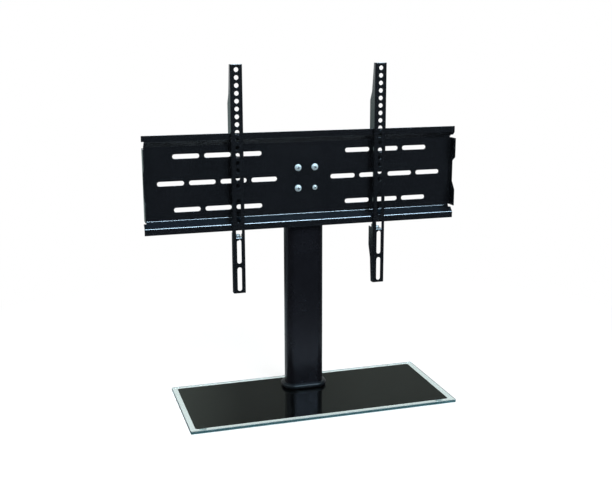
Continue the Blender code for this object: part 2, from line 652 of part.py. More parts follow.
def television_arm(side_name, side, x, material):
    """Folded channel that hooks over the plate's top lip; below the plate only its inner wall is deep."""
    wall = ARM_THICKNESS / 2
    flange = ARM_WIDTH / 2 - wall
    channel = folded_strip([(-flange, ARM_DEPTH), (-flange, wall), (flange, wall), (flange, ARM_DEPTH)],
                           ARM_THICKNESS, ARM_BEND_RADIUS)
    arm = place(f"{side_name}_arm", prism(channel, "Z", ARM_BOTTOM - OVERRUN, ARM_TOP + OVERRUN), material,
                (x, ARM_FRONT_Y, PLATE_TOP_Z))
    shape_with(arm, "INTERSECT", prism(arm_side_outline(), "X", -ARM_WIDTH, ARM_WIDTH),
               f"{side_name}_arm_trim")
    shallow = [
        (LOWER_WALL_DEPTH, ARM_BOTTOM - OVERRUN),
        (ARM_DEPTH + OVERRUN, ARM_BOTTOM - OVERRUN),
        (ARM_DEPTH + OVERRUN, -PLATE_HEIGHT),
        (LOWER_WALL_DEPTH, -PLATE_HEIGHT),
    ]
    outer = sorted((0, side * ARM_WIDTH))
    shape_with(arm, "DIFFERENCE", prism(shallow, "X", *outer), f"{side_name}_arm_outer_trim")
    slots, slot_top = arm_slots()
    bend = ARM_THICKNESS + ARM_BEND_RADIUS
    half = WINDOW_WIDTH / 2
    sill = SAFETY_TAB_TOP - bend
    head = SAFETY_TAB_TOP + WINDOW_HEIGHT
    window = [(-half, sill), (half, sill), (half, head), (-half, head)]
    cuts = slots + arm_holes(slot_top) + [window]
    shape_with(arm, "DIFFERENCE", prisms(cuts, "Y", -OVERRUN, ARM_THICKNESS + OVERRUN / 2),
               f"{side_name}_arm_cuts")
    tab_middle = SAFETY_TAB_TOP - wall
    tab = folded_strip([(wall, sill - ARM_THICKNESS / 2), (wall, tab_middle), (SAFETY_TAB_REACH, tab_middle)],
                       ARM_THICKNESS, ARM_BEND_RADIUS)
    shape_with(arm, "UNION", prism(tab, "X", -half, half), f"{side_name}_arm_tab")
    collar = circle((0, SAFETY_SCREW_DEPTH), SAFETY_SCREW_RADIUS + 2 * GAP + SAFETY_NUT_COLLAR)
    shape_with(arm, "DIFFERENCE", prism(collar, "Z", tab_middle - ARM_THICKNESS, SAFETY_TAB_TOP + OVERRUN),
               f"{side_name}_arm_tab_hole")


def safety_nut(side_name, x, material):
    """Clinch nut that sits on the lanced tab, with a collar down through it."""
    bore = SAFETY_SCREW_RADIUS + GAP
    collar = bore + SAFETY_NUT_COLLAR
    profile = [
        (bore, -ARM_THICKNESS),
        (collar, -ARM_THICKNESS),
        (collar, GAP),
        (SAFETY_NUT_RADIUS, GAP),
        (SAFETY_NUT_RADIUS, SAFETY_NUT_HEIGHT + GAP - SAFETY_NUT_CHAMFER),
        (SAFETY_NUT_RADIUS - SAFETY_NUT_CHAMFER, SAFETY_NUT_HEIGHT + GAP),
        (bore, SAFETY_NUT_HEIGHT + GAP),
    ]
    place(f"{side_name}_safety_nut", turned(profile, HOLE_STEPS, closed=True), material,
          (x, ARM_FRONT_Y + SAFETY_SCREW_DEPTH, PLATE_TOP_Z + SAFETY_TAB_TOP))


def safety_screw(side_name, x, material):
    """Set screw with a round tip; screwed up, the tip stands behind the bottom lip and locks the arm."""
    tip = SAFETY_NUT_HEIGHT + GAP + SAFETY_SCREW_PROUD
    profile = [(0, tip - SAFETY_SCREW_LENGTH), (SAFETY_SCREW_RADIUS, tip - SAFETY_SCREW_LENGTH)]
    profile += arc((0, tip - SAFETY_SCREW_RADIUS), SAFETY_SCREW_RADIUS, 0, 90, 4)[:-1]
    profile.append((0, tip))
    place(f"{side_name}_safety_screw", turned(profile, HOLE_STEPS), material,
          (x, ARM_FRONT_Y + SAFETY_SCREW_DEPTH, PLATE_TOP_Z + SAFETY_TAB_TOP))


def build():
    """Clears the file and makes every piece of the stand."""
    for thing in list(bpy.data.objects):
        bpy.data.objects.remove(thing, do_unlink=True)
    glass = finish("smoked_glass", (0.03, 0.04, 0.04), 0.05)
    rubber = finish("black_rubber", (0.02, 0.02, 0.02), 0.8)
    foam = finish("grey_foam", (0.05, 0.05, 0.05), 0.9)
    steel = finish("black_powder_coat", (0.012, 0.013, 0.017), 0.45)
    tube = finish("black_painted_aluminium", (0.012, 0.014, 0.018), 0.35)
    plastic = finish("black_plastic", (0.015, 0.016, 0.018), 0.3)
    zinc = finish("bright_zinc", (0.75, 0.78, 0.8), 0.25, 1.0)
    glass_base(glass)
    rubber_feet(rubber)
    base_clamp(steel, foam)
    base_screws(zinc)
    column(tube)
    foot_ring(plastic)
    column_cap(plastic)
    nut_plate(zinc)
    mounting_plate(steel)
    end_flange("left", -1, steel)
    end_flange("right", 1, steel)
    plate_screws(zinc)
    for side_name, side, x in (("left", -1, LEFT_ARM_X), ("right", 1, RIGHT_ARM_X)):
        television_arm(side_name, side, x, steel)
        safety_nut(side_name, x, zinc)
        safety_screw(side_name, x, zinc)


build()
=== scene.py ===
import math

import bmesh
import bpy
import numpy as np
from mathutils import Matrix, Vector


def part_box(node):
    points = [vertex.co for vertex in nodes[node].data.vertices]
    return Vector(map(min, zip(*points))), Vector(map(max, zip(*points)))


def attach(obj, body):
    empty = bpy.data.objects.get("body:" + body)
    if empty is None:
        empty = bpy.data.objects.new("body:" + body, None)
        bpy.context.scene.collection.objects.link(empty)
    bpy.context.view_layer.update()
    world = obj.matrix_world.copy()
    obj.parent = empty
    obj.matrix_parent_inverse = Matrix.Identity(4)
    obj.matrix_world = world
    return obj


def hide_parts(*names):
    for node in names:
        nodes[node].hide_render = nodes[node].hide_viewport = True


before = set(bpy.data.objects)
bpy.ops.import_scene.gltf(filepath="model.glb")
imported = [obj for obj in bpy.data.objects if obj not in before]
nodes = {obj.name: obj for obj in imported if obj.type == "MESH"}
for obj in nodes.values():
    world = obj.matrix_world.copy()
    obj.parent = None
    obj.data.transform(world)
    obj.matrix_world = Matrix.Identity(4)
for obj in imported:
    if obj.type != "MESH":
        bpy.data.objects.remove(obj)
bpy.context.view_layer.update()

# Glass base: toughened float glass with polished edges, finely ground arrises and small round corners.
# A black print, baked on its lower side, leaves a clear rim all round, widest at the front.
# It lies on four rubber feet and carries the column's clamp in the middle.

glass_low, glass_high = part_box("glass_base")
glass_corner_radius = 0.003
glass_edge_radius = 0.0009
glass_colour = (0.80, 0.93, 0.92)
glass_index = 1.5
glass_shadow = 0.12
edge_colour = (0.06, 0.15, 0.17)
edge_tint = (0.45, 0.85, 0.95)
edge_clearness = 0.5
edge_flatness, arris_flatness = 0.3, 0.99
arris_roughness = 0.3
print_rim = 0.0114
print_rim_front = 0.0148
print_rim_back = 0.0074
print_corner_radius = 0.0045
print_sink = 0.0001
print_film = 0.0002
print_colour = (0.0014, 0.0014, 0.0015)
print_dark = (0.0010, 0.0010, 0.0011)
print_pale = (0.0020, 0.0020, 0.0020)


def rounded_outline(low, high, radius, steps=10):
    """Closed outline of a rectangle with round corners, and its outward directions.

    With a running round the four quarters, a point is its corner's centre plus the radius times
    (cos a, sin a), and the outward direction there is (cos a, sin a)."""
    quarter = np.repeat(np.arange(4), steps + 1)
    angle = (quarter + np.tile(np.linspace(0, 1, steps + 1), 4)) * math.pi / 2
    outward = np.stack([np.cos(angle), np.sin(angle)], axis=1)
    side = np.array([[1, 1], [-1, 1], [-1, -1], [1, -1]])[quarter]
    low, high = np.array(low[:2]), np.array(high[:2])
    centre = (low + high) / 2 + side * ((high - low) / 2 - radius)
    return centre + radius * outward, outward


def carried_profile(outline, outward, profile):
    """Grid of points: row v is the outline moved outward by the profile's first value, at its second as height."""
    profile = np.asarray(profile, float)
    flat = outline[None] + profile[:, 0, None, None] * outward[None]
    height = np.broadcast_to(profile[:, 1, None, None], (*flat.shape[:2], 1))
    return np.concatenate([flat, height], axis=2)


def round_edges(low, high, radius, steps=4):
    """Profile of a plate's edge from its lower face to its upper one: a quarter circle at each corner.

    The offset is radius times (sin a - 1) and the rise is radius times (1 - cos a); one more row on each flat
    beside the circle keeps the flat's shading flat. The upper corner mirrors the lower one."""
    angle = np.linspace(0, math.pi / 2, steps + 1)
    circle = radius * np.stack([np.sin(angle) - 1, 1 - np.cos(angle)], axis=1)
    corner = np.concatenate([[[-1.5 * radius, 0]], circle, [[0, 1.5 * radius]]])
    return np.concatenate([corner * (1, 1) + (0, low), (corner * (1, -1) + (0, high))[::-1]])


def grid_object(name, grid, ring=False, sharp=math.radians(35)):
    """Object from a grid of rows that each close on themselves.

    With ring the last row joins the first; otherwise each end row is closed to a point at its middle."""
    rows, columns = grid.shape[:2]
    number = np.arange(rows * columns).reshape(rows, columns)
    below = number if ring else number[:-1]
    above = np.roll(number, -1, axis=0) if ring else number[1:]
    quads = np.stack([below, np.roll(below, -1, axis=1), np.roll(above, -1, axis=1), above], axis=2)
    points = grid.reshape(-1, 3)
    faces = quads.reshape(-1, 4).tolist()
    if not ring:
        first, last = rows * columns, rows * columns + 1
        points = np.concatenate([points, grid[:1].mean(axis=1), grid[-1:].mean(axis=1)])
        start, end = number[0], number[-1]
        fan = [np.stack([np.full(columns, first), np.roll(start, -1), start], axis=1)]
        fan.append(np.stack([np.full(columns, last), end, np.roll(end, -1)], axis=1))
        faces += np.concatenate(fan).tolist()
    mesh = bpy.data.meshes.new(name)
    mesh.from_pydata(points.tolist(), [], faces)
    mesh.shade_smooth()
    mesh.set_sharp_from_angle(angle=sharp)
    thing = bpy.data.objects.new(name, mesh)
    bpy.context.collection.objects.link(thing)
    return thing


def feed(tree, socket, value):
    """Gives a node's input a plain value, or links another node's output to it."""
    if isinstance(value, bpy.types.NodeSocket):
        tree.links.new(value, socket)
    else:
        socket.default_value = value


def add_node(tree, kind, **inputs):
    """A new shader node with its named inputs fed; a space in an input's name is written _."""
    node = tree.nodes.new(f"ShaderNode{kind}")
    for name, value in inputs.items():
        feed(tree, node.inputs[name.replace("_", " ")], value)
    return node


def add_mix(tree, share, one, other, kind="RGBA"):
    """Output of a mix by a share between two colours, or two vectors."""
    node = tree.nodes.new("ShaderNodeMix")
    node.data_type = kind
    for name, value in zip(("Factor", "A", "B"), (share, one, other)):
        feed(tree, node.inputs[name], value)
    return node.outputs["Result"]


def new_group(name, inputs, output):
    """An empty node group with number inputs and one number output, and its two end nodes."""
    group = bpy.data.node_groups.new(name, "ShaderNodeTree")
    for entry in inputs:
        group.interface.new_socket(entry, in_out="INPUT", socket_type="NodeSocketFloat")
    group.interface.new_socket(output, in_out="OUTPUT", socket_type="NodeSocketFloat")
    return group, group.nodes.new("NodeGroupInput"), group.nodes.new("NodeGroupOutput")


def smear_group():
    """Node group: broad soft unevenness, as cleaning and handling leave it, as a tone from low to high."""
    group, into, out = new_group("soft_smears", ("Scale", "Low", "High"), "Tone")
    place = add_node(group, "TexCoord")
    noise = add_node(group, "TexNoise", Vector=place.outputs["Object"], Scale=into.outputs["Scale"],
                     Detail=4, Roughness=0.6)
    spread = add_node(group, "MapRange", Value=noise.outputs["Fac"], From_Min=0.3, From_Max=0.7,
                      To_Min=into.outputs["Low"], To_Max=into.outputs["High"])
    feed(group, out.inputs["Tone"], spread.outputs["Result"])
    return group


def grain_group():
    """Node group: an even fine grain, as the height of a Bump."""
    group, into, out = new_group("fine_grain", ("Scale",), "Height")
    place = add_node(group, "TexCoord")
    noise = add_node(group, "TexNoise", Vector=place.outputs["Object"], Scale=into.outputs["Scale"],
                     Detail=3, Roughness=0.55)
    feed(group, out.inputs["Height"], noise.outputs["Fac"])
    return group


soft_smears = smear_group()
fine_grain = grain_group()


def finish(name, colour, metallic=0.0, specular=0.5, tint=(1, 1, 1)):
    """A material with its Principled shader, ready for its detail."""
    material = bpy.data.materials.new(name)
    material.use_nodes = True
    shader = material.node_tree.nodes["Principled BSDF"]
    shader.inputs["Base Color"].default_value = (*colour, 1)
    shader.inputs["Metallic"].default_value = metallic
    shader.inputs["Specular IOR Level"].default_value = specular
    shader.inputs["Specular Tint"].default_value = (*tint, 1)
    material.diffuse_color = (*colour, 1)
    return material, shader


def smears(tree, scale, low, high):
    """Output of the soft smears at a scale, from a low to a high tone."""
    group = tree.nodes.new("ShaderNodeGroup")
    group.node_tree = soft_smears
    for name, value in (("Scale", scale), ("Low", low), ("High", high)):
        group.inputs[name].default_value = value
    return group.outputs["Tone"]


def add_smears(shader, scale, low, high):
    """Varies a shader's roughness softly between two values."""
    tree = shader.id_data
    feed(tree, shader.inputs["Roughness"], smears(tree, scale, low, high))


def add_colour_shift(shader, scale, one, other):
    """Varies a shader's base colour softly between two close shades, and hands on the colour's output."""
    tree = shader.id_data
    colour = add_mix(tree, smears(tree, scale, 0, 1), (*one, 1), (*other, 1))
    feed(tree, shader.inputs["Base Color"], colour)
    return colour


def add_grain(shader, scale, depth):
    """Bumps a shader's surface with the fine grain, to a depth in metres, and hands on the Bump."""
    tree = shader.id_data
    grain = tree.nodes.new("ShaderNodeGroup")
    grain.node_tree = fine_grain
    grain.inputs["Scale"].default_value = scale
    bump = add_node(tree, "Bump", Height=grain.outputs["Height"], Distance=depth)
    feed(tree, shader.inputs["Normal"], bump.outputs["Normal"])
    return bump


glass_finish, shader = finish("clear_glass", glass_colour)
shader.inputs["Transmission Weight"].default_value = 1.0
shader.inputs["IOR"].default_value = glass_index
add_smears(shader, scale=9, low=0.0, high=0.03)
tree = glass_finish.node_tree
rays = add_node(tree, "LightPath").outputs
lets_light_by = add_node(tree, "MapRange", Value=rays["Is Shadow Ray"], To_Min=1.0, To_Max=glass_shadow)
feed(tree, shader.inputs["Alpha"], lets_light_by.outputs["Result"])

edge_finish = glass_finish.copy()
edge_finish.name = "polished_glass_edge"
shader = edge_finish.node_tree.nodes["Principled BSDF"]
shader.inputs["Base Color"].default_value = (*edge_colour, 1)
shader.inputs["Transmission Weight"].default_value = edge_clearness
shader.inputs["Specular Tint"].default_value = (*edge_tint, 1)

arris_finish = glass_finish.copy()
arris_finish.name = "ground_glass_arris"
shader = arris_finish.node_tree.nodes["Principled BSDF"]
arris_finish.node_tree.links.remove(shader.inputs["Roughness"].links[0])
shader.inputs["Roughness"].default_value = arris_roughness

print_finish, shader = finish("black_print", print_colour, specular=0.02)
add_colour_shift(shader, scale=14, one=print_dark, other=print_pale)
add_smears(shader, scale=25, low=0.4, high=0.6)
add_grain(shader, scale=900, depth=0.00002)

outline, outward = rounded_outline(glass_low, glass_high, glass_corner_radius)
glass = grid_object("base_glass", carried_profile(
    outline, outward, round_edges(glass_low.z, glass_high.z, glass_edge_radius)))
for material in (glass_finish, edge_finish, arris_finish):
    glass.data.materials.append(material)
facing = np.empty(len(glass.data.polygons) * 3)
glass.data.polygons.foreach_get("normal", facing)
flatness = np.abs(facing.reshape(-1, 3)[:, 2])
numbers = np.select([flatness < edge_flatness, flatness < arris_flatness], [1, 2], 0)
glass.data.polygons.foreach_set("material_index", numbers.astype(np.int32))
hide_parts("glass_base")
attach(glass, "stand")

print_low = glass_low + Vector((print_rim, print_rim_front, 0))
print_high = glass_high - Vector((print_rim, print_rim_back, 0))
outline, outward = rounded_outline(print_low, print_high, print_corner_radius)
film_top = glass_low.z + print_sink
film = grid_object("base_back_print", carried_profile(
    outline, outward, round_edges(film_top - print_film, film_top, print_film / 4)))
film.data.materials.append(print_finish)
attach(film, "stand")

# Feet: four moulded discs of clear rubber, glued under the glass near its corners.
# Each tapers a little downward and has a round lower edge and a shallow ring in its sole.

foot_taper = 0.0015
foot_edge_radius = 0.0012
foot_top_round = 0.001
foot_axis_gap = 0.0005
foot_ring_radius = 0.0052
foot_ring_depth = 0.0006
foot_ring_half_width = 0.0011
rubber_colour = (0.80, 0.86, 0.85)
rubber_dark = (0.74, 0.81, 0.80)
rubber_pale = (0.84, 0.89, 0.88)
rubber_index = 1.42
rubber_clearness = 0.6


def turned_grid(profile, centre, steps=48):
    """Grid of a round piece on an upright axis: (radius cos t, radius sin t, height) round its centre."""
    profile = np.asarray(profile, float)
    turn = np.linspace(0, math.tau, steps, endpoint=False)
    radius, height = profile[:, 0, None], profile[:, 1, None]
    height = np.broadcast_to(height, (len(profile), steps))
    return np.stack([radius * np.cos(turn), radius * np.sin(turn), height], axis=2) + np.asarray(centre, float)


def foot_profile(radius, height):
    """Half section of a foot from the sole's middle to the middle of its top.

    The sole sinks by a cosine hump at the ring, then a quarter circle turns up into the tapered side."""
    sole = np.linspace(foot_axis_gap, radius - foot_taper - foot_edge_radius, 26)
    near = np.clip(1 - np.abs(sole - foot_ring_radius) / foot_ring_half_width, 0, 1)
    sunk = foot_ring_depth * (0.5 - 0.5 * np.cos(math.pi * near))
    angle = np.linspace(0, math.pi / 2, 6)[1:]
    corner = np.stack([sole[-1] + foot_edge_radius * np.sin(angle), foot_edge_radius * (1 - np.cos(angle))], axis=1)
    side = np.array([[radius, height]]) - foot_top_round * np.array([[0.3, 0.4], [0.6, 0.1], [1, 0], [2, 0]])
    return np.concatenate([np.stack([sole, sunk], axis=1), corner, side])


rubber_finish, shader = finish("clear_rubber", rubber_colour, specular=0.4)
shader.inputs["Transmission Weight"].default_value = rubber_clearness
shader.inputs["IOR"].default_value = rubber_index
add_colour_shift(shader, scale=120, one=rubber_dark, other=rubber_pale)
add_smears(shader, scale=90, low=0.35, high=0.5)
add_grain(shader, scale=2600, depth=0.00006)

for name in ("foot_front_left", "foot_front_right", "foot_rear_left", "foot_rear_right"):
    low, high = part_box(name)
    middle = ((low.x + high.x) / 2, (low.y + high.y) / 2, low.z)
    foot = grid_object(f"rubber_{name}", turned_grid(foot_profile((high.x - low.x) / 2, high.z - low.z), middle))
    foot.data.materials.append(rubber_finish)
    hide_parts(name)
    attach(foot, "stand")

# Base screws: four countersunk screws, up through the clamp plate and the glass into the column's bosses.
# Their heads lie flush in the plate and have a cross recess, seen only from below.
# Their zinc is mottled and has painted shade in its recesses; it is also that of all other fixings and of the nut
# plate.

screw_radius = 0.003
thread_pitch = 0.001
thread_depth = 0.00022
axis_gap = 0.0001
head_round = 0.0003
countersink_height = 0.0026
cross_radius = 0.0026
cross_half_width = 0.0008
cross_depth = 0.0016
cross_wall_slope = 0.0003
cross_end_slope = 0.0004
hollow_depth = 0.0007
turned_edge = math.radians(50)
zinc_colour = (0.60, 0.70, 0.74)
zinc_dark = (0.28, 0.35, 0.37)
zinc_pale = (0.62, 0.71, 0.73)
zinc_recess_shade = (0.03, 0.035, 0.04)


def cross_recess(across, along, radius=cross_radius, half_width=cross_half_width, depth=cross_depth):
    """Depth of a cross-shaped driver recess at each point of a screw's head.

    A point's distance to the nearer arm, whose width falls outward from 1.25 to 0.75 of its middle value, and to the
    arms' end give a wall with a short slope; the floor rises outward by 0.45 of the depth."""
    aside = np.minimum(np.abs(across), np.abs(along))
    out = np.hypot(across, along)
    wall = np.clip((half_width * (1.25 - 0.5 * out / radius) - aside) / cross_wall_slope, 0, 1)
    end = np.clip((radius - out) / cross_end_slope, 0, 1)
    return depth * wall * end * (1 - 0.45 * out / radius)


def headed_screw_grid(head, shank_radius, shank_end, recess, steps=96):
    """Grid of a screw that stands on its axis, its driving face up, from the middle of the head to the shank's end.

    The head follows its (radius, height) profile less the recess; the shank's radius swings with the height over the
    pitch minus the turn, which winds a thread round it. Over the last two pitches the thread fades to a quarter
    and the shank narrows."""
    head = np.asarray(head, float)
    turn = np.linspace(0, math.tau, steps, endpoint=False)
    radius = np.repeat(head[:, 0, None], steps, axis=1)
    height = np.repeat(head[:, 1, None], steps, axis=1) - recess(radius * np.cos(turn), radius * np.sin(turn))
    down = np.arange(head[-1, 1] - thread_pitch, shank_end + thread_pitch / 2, -thread_pitch / 6)
    wave = np.abs(((down[:, None] / thread_pitch + turn / math.tau) % 1) - 0.5) * 2
    fade = np.clip((down - down[-1]) / (2 * thread_pitch), 0.25, 1)[:, None]
    shank = shank_radius - thread_depth * (wave * fade + (1 - fade) * 2)
    radius = np.concatenate([radius, shank, shank[-1:] - thread_depth])
    height = np.concatenate([height, np.repeat(down[:, None], steps, axis=1), np.full((1, steps), shank_end)])
    return np.stack([radius * np.cos(turn), radius * np.sin(turn), height], axis=2)


def aim(grid, place, axis):
    """Turns a grid that stands on Z to an axis and moves its origin to a place."""
    turn = np.array(Vector((0, 0, 1)).rotation_difference(Vector(axis)).to_matrix())
    return grid @ turn.T + np.asarray(place, float)


# The attribute "hollow" feeds the zinc's painted shade in the recesses.
def mark_recess(screw, head, recess, steps=96):
    """Stores how deep each point of a screw's head lies in its recess, from 0 to 1, as the attribute "hollow".

    The head's points come first in the mesh; the point in the middle of its face is the last but one."""
    radius = np.asarray(head, float)[:, 0, None]
    turn = np.linspace(0, math.tau, steps, endpoint=False)
    sunk = np.clip(recess(radius * np.cos(turn), radius * np.sin(turn)) / hollow_depth, 0, 1).ravel()
    hollow = np.zeros(len(screw.data.vertices), dtype=np.float32)
    hollow[:len(sunk)] = sunk
    hollow[-2] = sunk[0]
    screw.data.attributes.new("hollow", "FLOAT", "POINT").data.foreach_set("value", hollow)


def stored(tree, name):
    """Output of a number that the mesh stores at its points."""
    node = tree.nodes.new("ShaderNodeAttribute")
    node.attribute_name = name
    return node.outputs["Fac"]


zinc_finish, shader = finish("bright_zinc", zinc_colour, metallic=0.55)
shade = add_colour_shift(shader, scale=420, one=zinc_dark, other=zinc_pale)
add_smears(shader, scale=420, low=0.46, high=0.64)
add_grain(shader, scale=1800, depth=0.00002)
tree = zinc_finish.node_tree
# Painted shade: the deeper a point lies in its head's recess, the nearer its zinc comes to a dark grey.
feed(tree, shader.inputs["Base Color"], add_mix(tree, stored(tree, "hollow"), shade, (*zinc_recess_shade, 1)))


def countersunk_profile(head_radius, shank_radius, height):
    """Half section of a flat countersunk head, from near its middle to the shank."""
    face = np.linspace(axis_gap, head_radius - head_round, 22)
    top = np.stack([face, np.zeros_like(face)], axis=1)
    rest = np.array([[head_radius - head_round / 3, -head_round / 3], [head_radius, -head_round],
                     [shank_radius, -height]])
    return np.concatenate([top, rest])


for number in range(1, 5):
    name = f"base_screw_{number}"
    low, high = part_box(name)
    middle = ((low.x + high.x) / 2, (low.y + high.y) / 2, low.z)
    head = countersunk_profile((high.x - low.x) / 2, screw_radius, countersink_height)
    grid = aim(headed_screw_grid(head, screw_radius, low.z - high.z, cross_recess), middle, (0, 0, -1))
    screw = grid_object(f"threaded_{name}", grid, sharp=turned_edge)
    mark_recess(screw, head, cross_recess)
    screw.data.materials.append(zinc_finish)
    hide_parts(name)
    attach(screw, "stand")

# Gaskets: two sheets of soft grey foam, die cut to the clamp's and the column's outline.
# They lie on both faces of the glass, under the column and over the clamp plate, squeezed by the base screws.

foam_colour = (0.05, 0.05, 0.05)
foam_dark = (0.035, 0.035, 0.036)
foam_pale = (0.07, 0.07, 0.07)

foam_finish, shader = finish("grey_foam", foam_colour, specular=0.1)
add_colour_shift(shader, scale=300, one=foam_dark, other=foam_pale)
add_smears(shader, scale=200, low=0.85, high=0.98)
add_grain(shader, scale=3200, depth=0.0002)
for name in ("clamp_gasket", "column_gasket"):
    nodes[name].data.materials.clear()
    nodes[name].data.materials.append(foam_finish)

# Clamp plate: a small black steel plate that grips the glass from below.
# Its powder coat, also that of the mounting plate and the arms, has a fine orange peel. Near an edge or a fold
# its colour is a little lighter and bluer, and over a fold, which the attribute "fold" marks, its face turns softly.

coat_colour = (0.0044, 0.0048, 0.0060)
coat_shade = (0.0032, 0.0036, 0.0046)
coat_edge = (0.010, 0.013, 0.016)
coat_tint = (0.80, 0.93, 1.0)
coat_round_reach = 0.0016
coat_turn_least, coat_turn_most = 0.98, 0.80
fold_least, fold_most = 0.05, 0.65
merge_reach = 0.000002
end_reach = 0.00001
union_reach = 0.000005
clamp_edge = 0.0003

steel_finish, shader = finish("black_powder_coat", coat_colour, specular=1.0, tint=coat_tint)
shade = add_colour_shift(shader, scale=11, one=coat_shade, other=coat_colour)
add_smears(shader, scale=30, low=0.12, high=0.17)
peel = add_grain(shader, scale=1300, depth=0.00004)
tree = steel_finish.node_tree
edge_rounding = add_node(tree, "Bevel", Radius=coat_round_reach)
edge_rounding.samples = 6
shape = add_node(tree, "NewGeometry")
soft = add_mix(tree, stored(tree, "fold"), shape.outputs["Normal"], edge_rounding.outputs["Normal"], kind="VECTOR")
feed(tree, peel.inputs["Normal"], soft)
turned = tree.nodes.new("ShaderNodeVectorMath")
turned.operation = "DOT_PRODUCT"
feed(tree, turned.inputs[0], shape.outputs["Normal"])
feed(tree, turned.inputs[1], edge_rounding.outputs["Normal"])
near_edge = add_node(tree, "MapRange", Value=turned.outputs["Value"], From_Min=coat_turn_least,
                     From_Max=coat_turn_most)
feed(tree, shader.inputs["Base Color"], add_mix(tree, near_edge.outputs["Result"], shade, (*coat_edge, 1)))


def clean_flats(shell):
    """Joins faces that lie in one plane and edges that run on in one line."""
    bmesh.ops.dissolve_limit(shell, angle_limit=math.radians(0.5), verts=shell.verts, edges=shell.edges)


def mark_folds(shell):
    """Stores 1 as the attribute "fold" at each point on a bend, whose facets meet at small angles across the sheet.

    The facets of a punched hole's wall meet along the sheet's thickness, on Y, and are left out."""
    layer = shell.verts.layers.float.new("fold")
    for edge in shell.edges:
        start, end = (vertex.co for vertex in edge.verts)
        across = abs(end.y - start.y) < 0.5 * edge.calc_length()
        if across and len(edge.link_faces) == 2 and fold_least < edge.calc_face_angle() < fold_most:
            for vertex in edge.verts:
                vertex[layer] = 1.0


def softened_copy(name, members, width, welded=0.0):
    """One closed piece from copies of the named nodes, powder coated, with small round edges and marked folds.

    Each copy's loose triangles are merged. Where there is more than one, the others are drawn towards the first by
    the weld and united with it. Flat faces are cleaned, and every edge sharper than 40 degrees is rounded by the
    width."""
    copies = []
    for member in members:
        mesh = nodes[member].data.copy()
        shell = bmesh.new()
        shell.from_mesh(mesh)
        bmesh.ops.remove_doubles(shell, verts=shell.verts, dist=merge_reach)
        if copies:
            middle = np.array([v.co.x for v in shell.verts]).mean()
            inner = min(abs(v.co.x) for v in shell.verts)
            for vertex in shell.verts:
                if abs(vertex.co.x) < inner + end_reach:
                    vertex.co.x -= math.copysign(welded, middle)
        clean_flats(shell)
        shell.to_mesh(mesh)
        shell.free()
        copies.append(bpy.data.objects.new(f"{name}_{len(copies)}", mesh))
        bpy.context.collection.objects.link(copies[-1])
    whole = copies[0]
    for other in copies[1:]:
        join = whole.modifiers.new("join", "BOOLEAN")
        join.operation = "UNION"
        join.solver = "EXACT"
        join.object = other
    bpy.context.view_layer.update()
    mesh = bpy.data.meshes.new_from_object(whole.evaluated_get(bpy.context.evaluated_depsgraph_get()))
    mesh.name = name
    for copy in copies:
        bpy.data.objects.remove(copy)
    shell = bmesh.new()
    shell.from_mesh(mesh)
    bmesh.ops.remove_doubles(shell, verts=shell.verts, dist=union_reach)
    clean_flats(shell)
    mark_folds(shell)
    shell.to_mesh(mesh)
    shell.free()
    mesh.materials.clear()
    mesh.materials.append(steel_finish)
    mesh.shade_smooth()
    piece = bpy.data.objects.new(name, mesh)
    bpy.context.collection.objects.link(piece)
    bevel = piece.modifiers.new("edges", "BEVEL")
    bevel.width = width
    bevel.segments = 2
    bevel.limit_method = "ANGLE"
    bevel.angle_limit = math.radians(40)
    bevel.use_clamp_overlap = False
    flats = piece.modifiers.new("flats", "WEIGHTED_NORMAL")
    flats.weight = 100
    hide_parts(*members)
    return piece


clamp = softened_copy("clamp", ["clamp_plate"], clamp_edge)
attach(clamp, "stand")

# Column: a flat-oval aluminium section, sawn to length and painted satin black.
# Faint lines from the extrusion die run up it under the paint.
# It stands on its gasket and is held by the base screws in its four bosses.

column_low, column_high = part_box("column")
column_corner_radius = 0.018
column_wall = 0.002
column_edge_radius = 0.0004
die_line_scale = (1400, 1400, 6)
die_line_depth = 0.00001
paint_colour = (0.0034, 0.0031, 0.0041)
paint_dark = (0.0028, 0.0025, 0.0033)
paint_pale = (0.0040, 0.0037, 0.0050)
paint_tint = (0.72, 0.82, 1.0)

tube_finish, shader = finish("black_painted_aluminium", paint_colour, specular=0.5, tint=paint_tint)
add_colour_shift(shader, scale=7, one=paint_dark, other=paint_pale)
add_smears(shader, scale=18, low=0.23, high=0.29)
tree = tube_finish.node_tree
place = add_node(tree, "TexCoord")
stretch = add_node(tree, "Mapping", Vector=place.outputs["Object"], Scale=die_line_scale)
die_lines = add_node(tree, "TexNoise", Vector=stretch.outputs["Vector"], Scale=1.0, Detail=2)
bump = add_node(tree, "Bump", Height=die_lines.outputs["Fac"], Distance=die_line_depth)
feed(tree, shader.inputs["Normal"], bump.outputs["Normal"])

outline, outward = rounded_outline(column_low, column_high, column_corner_radius, steps=24)
outer = round_edges(column_low.z, column_high.z, column_edge_radius)
inner = np.array([[-column_wall, column_high.z], [-column_wall, column_low.z]])
column = grid_object("painted_column", carried_profile(outline, outward, np.concatenate([outer, inner])), ring=True)
column.data.materials.append(tube_finish)
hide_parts("column")
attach(column, "stand")

# Trim ring and cap: two mouldings of semi-gloss black plastic.
# The round-nosed ring slips over the column's foot and hides its joint with the glass;
# the cap plugs the column's sawn top and has a shallow dish in its face.

ring_low, ring_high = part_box("foot_ring")
ring_reach = column_low.x - ring_low.x
ring_nose = (ring_high.z - ring_low.z) / 2
ring_gap = 0.0003
cap_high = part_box("column_cap")[1]
cap_edge = 0.0014
cap_round = 0.0002
cap_ledge = 0.004
dish_depth = 0.0004
dish_slope = 0.0012
dish_flat = 0.008
plastic_colour = (0.005, 0.006, 0.008)
plastic_dark = (0.004, 0.005, 0.007)
plastic_pale = (0.007, 0.009, 0.011)
plastic_tint = (0.75, 0.92, 1.0)

